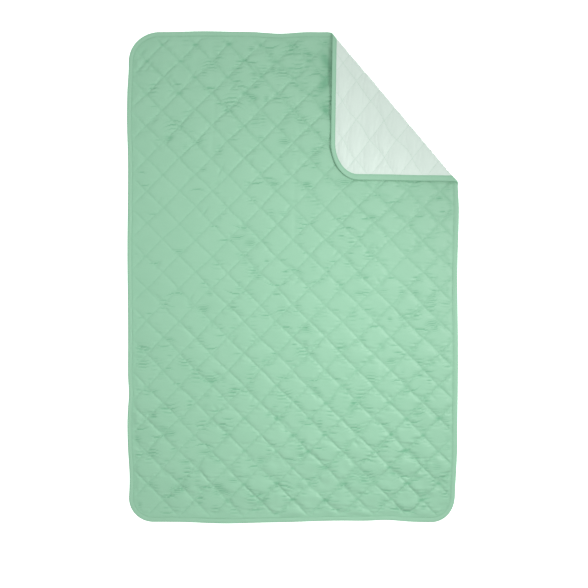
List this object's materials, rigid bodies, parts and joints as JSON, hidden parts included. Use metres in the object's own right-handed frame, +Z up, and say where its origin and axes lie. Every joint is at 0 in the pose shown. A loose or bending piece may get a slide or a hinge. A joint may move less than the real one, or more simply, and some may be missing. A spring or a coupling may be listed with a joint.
{
  "type": "camp quilt",
  "caption": "Rectangular diamond-quilted camp quilt with rounded corners and bound edges, laid flat with one corner turned back to show its lighter backing.",
  "frame": {"origin": "on the surface the quilt lies on, under the middle of its outline", "axes": "+X across the quilt to the right, +Y along it towards the edge with the turned corner, +Z up"},
  "size_m": [1.32, 1.96, 0.0227],
  "materials": {
    "face_taffeta": "pale green taffeta, soft satin sheen",
    "batting": "white polyester fibre filling, matt",
    "backing_taffeta": "mint white taffeta, soft satin sheen",
    "binding_tape": "green woven tape, satin",
    "sewing_thread": "green spun polyester thread, slight sheen"
  },
  "bodies": {
    "root": {"face_fabric": "face_taffeta", "batting": "batting", "backing_fabric": "backing_taffeta", "binding_tape": "binding_tape", "binding_needle_thread": "sewing_thread", "binding_bobbin_thread": "sewing_thread", "needle_thread_rising": "sewing_thread", "needle_thread_falling": "sewing_thread", "bobbin_thread_rising": "sewing_thread", "bobbin_thread_falling": "sewing_thread"}
  },
  "joints": []
}
